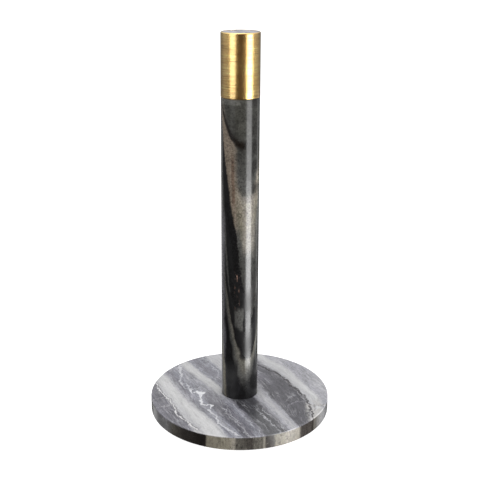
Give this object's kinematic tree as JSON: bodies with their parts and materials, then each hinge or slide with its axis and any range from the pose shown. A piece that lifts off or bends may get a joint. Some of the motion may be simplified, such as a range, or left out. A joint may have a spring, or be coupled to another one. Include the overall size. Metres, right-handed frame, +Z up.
{
  "type": "paper towel holder",
  "caption": "Free-standing paper towel holder: round banded stone base, slim stone post for the roll, and a brass-sleeved cap that screws down on top.",
  "frame": {"origin": "centre of the footprint, on the surface that the feet stand on", "axes": "+Z up along the post, +Y towards the back as stored, +X to the right"},
  "size_m": [0.152, 0.152, 0.3174],
  "materials": {
    "pale_marble": "polished",
    "dark_marble": "polished",
    "inlay_stone": "polished",
    "brushed_brass": "satin",
    "insert_brass": "satin",
    "zinc_steel": "satin",
    "spring_steel": "satin",
    "nylon": "satin",
    "gasket_rubber": "matte",
    "foot_rubber": "matte",
    "turned_wood": "matte"
  },
  "bodies": {
    "holder": {"base_plate": "pale_marble", "foot_1": "foot_rubber", "foot_2": "foot_rubber", "foot_3": "foot_rubber", "foot_4": "foot_rubber", "post_gasket": "gasket_rubber", "post": "dark_marble", "lower_bush": "nylon", "upper_bush": "nylon", "tie_rod": "zinc_steel", "base_cushion": "gasket_rubber", "base_washer": "zinc_steel", "base_spring_washer": "spring_steel", "base_nut": "zinc_steel", "post_washer": "zinc_steel", "post_spring_washer": "spring_steel", "post_nut": "zinc_steel"},
    "cap_lift": {"cap_glide_ring": "nylon"},
    "cap": {"cap_sleeve": "brushed_brass", "cap_core": "turned_wood", "cap_insert": "insert_brass", "cap_inlay": "inlay_stone"}
  },
  "joints": [
    {"name": "cap_rise", "type": "slide", "parent": "holder", "child": "cap_lift", "axis": [0, 0, 1], "range_m": [0, 0.012]},
    {"name": "cap_turn", "type": "hinge", "parent": "cap_lift", "child": "cap", "pos_m": [0, 0, 0.2677], "axis": [0, 0, 1], "range_deg": [0, 4320]}
  ],
  "couplings": [
    {"joint": "cap_rise", "follows": "cap_turn", "m_per_rad": 0.00015915}
  ]
}
